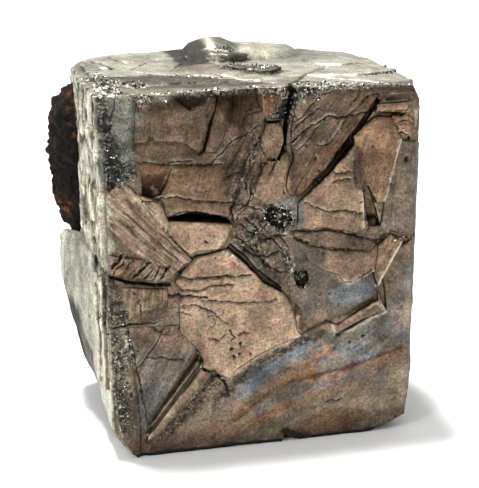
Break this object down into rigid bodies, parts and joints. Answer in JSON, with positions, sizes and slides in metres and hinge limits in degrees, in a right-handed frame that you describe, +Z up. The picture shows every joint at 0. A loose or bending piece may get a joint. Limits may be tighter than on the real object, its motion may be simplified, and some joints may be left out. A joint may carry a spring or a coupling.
{
  "type": "cobaltite specimen",
  "caption": "Blocky metallic ore crystal with stepped growth plates and a remnant of rusty host rock, standing on a flat foot.",
  "frame": {"origin": "middle of the footprint's box, on the surface that the specimen stands on", "axes": "+Z up, -Y out of the broad stepped face, +X to the right of that face"},
  "size_m": [0.0298, 0.022, 0.032],
  "materials": {
    "cobaltite": "tarnished metallic crystal faces, bronze brown with steel grey on the left and top",
    "host_rock": "rough iron-stained rock, dark brown with rusty patches"
  },
  "bodies": {
    "root": {"cobaltite_crystal": "cobaltite", "rusty_matrix": "host_rock"}
  },
  "joints": []
}
